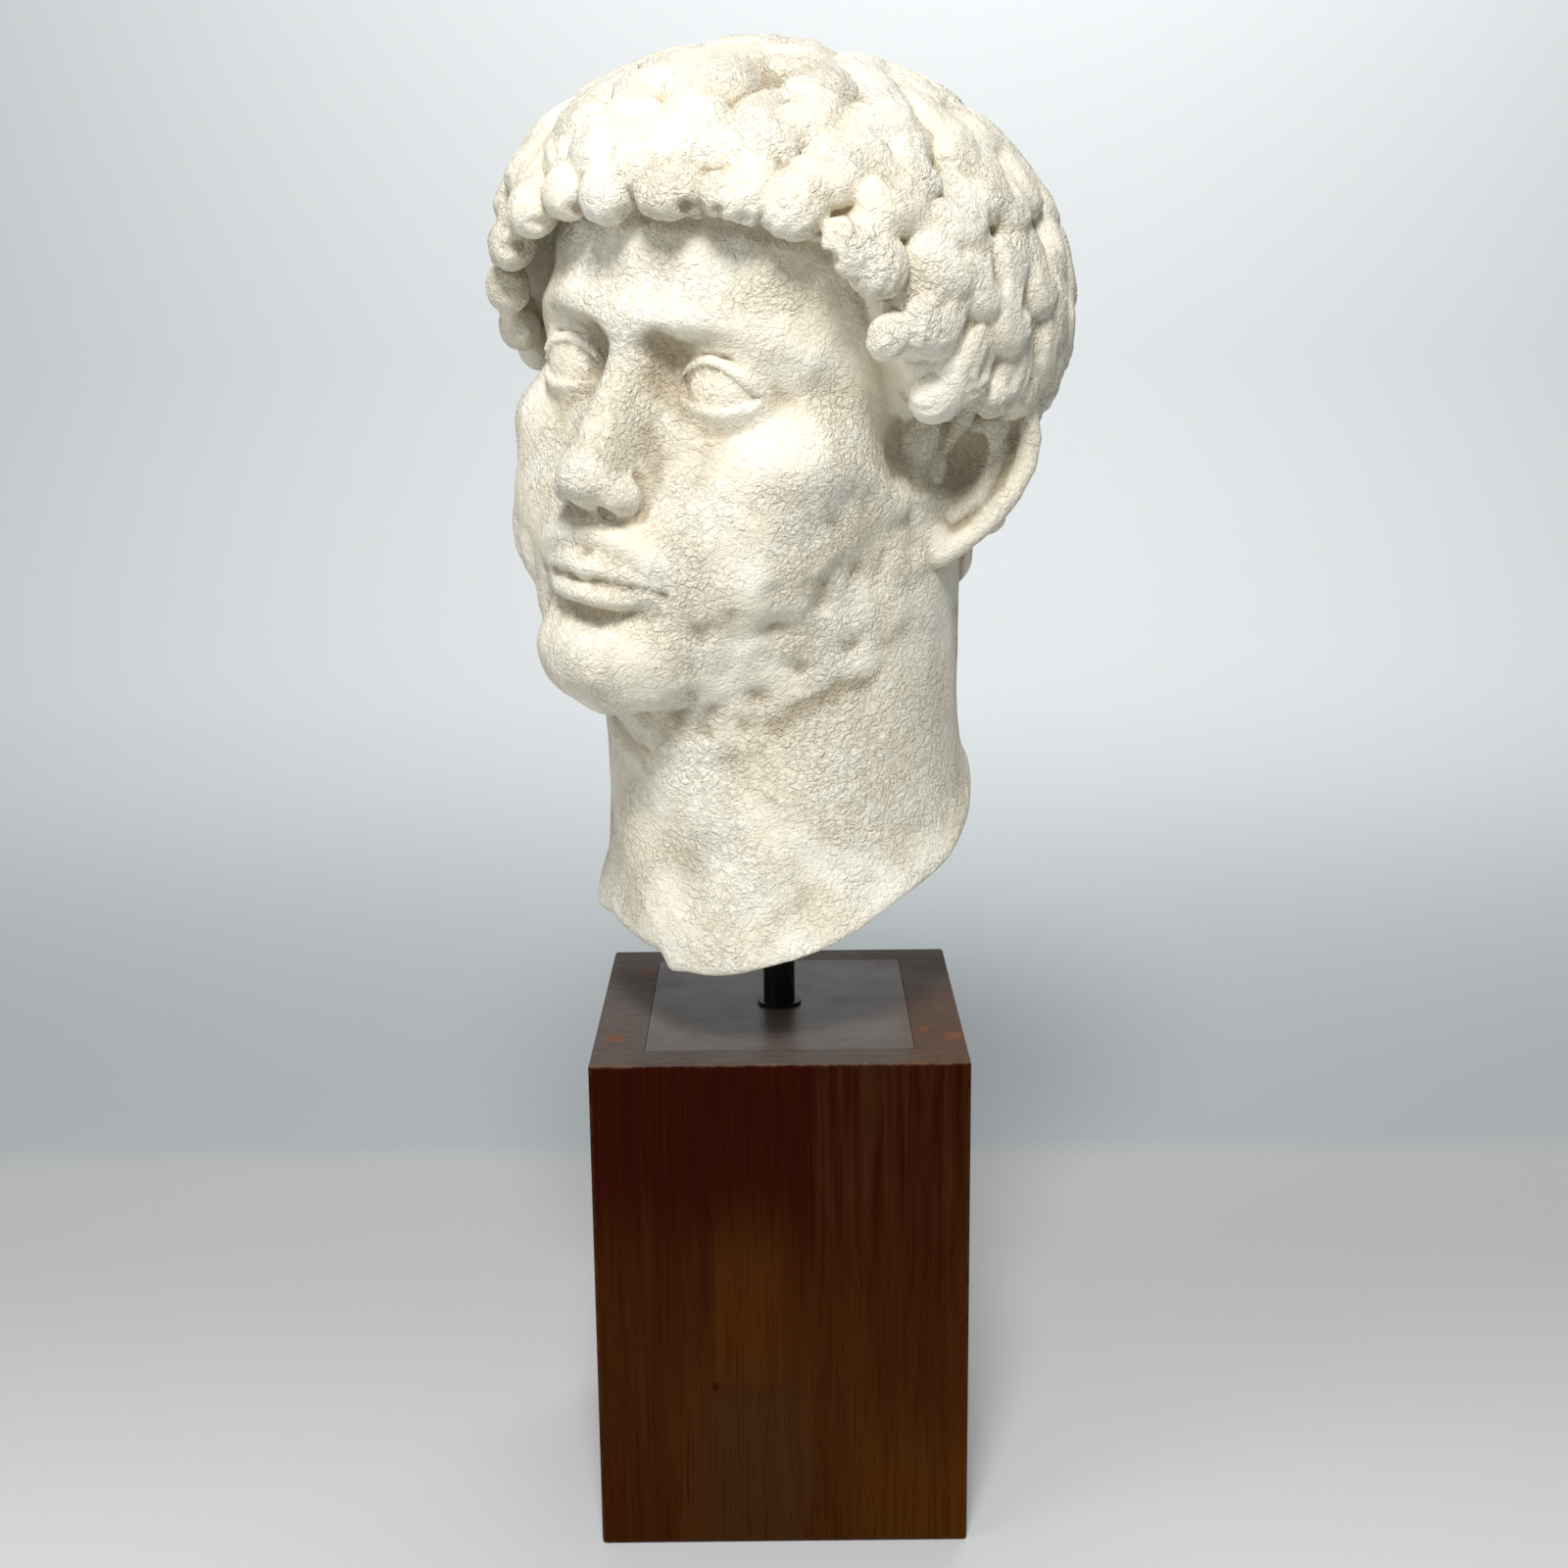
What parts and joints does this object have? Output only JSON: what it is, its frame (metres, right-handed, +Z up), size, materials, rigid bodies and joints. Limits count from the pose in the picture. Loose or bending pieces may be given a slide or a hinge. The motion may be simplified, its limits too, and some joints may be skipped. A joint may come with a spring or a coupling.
{
  "type": "roman emperor bust",
  "caption": "Bearded antique-style emperor's head with curled hair, cast in ivory crackle-painted plaster, on a steel post over a square dark wooden plinth",
  "frame": {"origin": "middle of the plinth's underside, where it stands on a table", "axes": "+Z up along the post, front of the plinth towards -Y, +X to the viewer's right; the head is turned 33 degrees towards -X"},
  "size_m": [0.2773, 0.2907, 0.709],
  "materials": {
    "ivory_crackle_plaster": "matt ivory paint with a fine raised crackle",
    "satin_black_steel": "satin black",
    "front_board_wood": "satin varnished red-brown hardwood, upright grain",
    "back_board_wood": "satin varnished red-brown hardwood, upright grain",
    "left_board_wood": "satin varnished red-brown hardwood, upright grain",
    "right_board_wood": "satin varnished red-brown hardwood, upright grain",
    "top_panel_wood": "worn varnish over brown hardwood",
    "bottom_panel_wood": "bare stained hardwood"
  },
  "bodies": {
    "root": {"head": "ivory_crackle_plaster", "mounting_post": "satin_black_steel", "plinth_front_board": "front_board_wood", "plinth_back_board": "back_board_wood", "plinth_left_board": "left_board_wood", "plinth_right_board": "right_board_wood", "plinth_top_panel": "top_panel_wood", "plinth_bottom_panel": "bottom_panel_wood"}
  },
  "joints": []
}
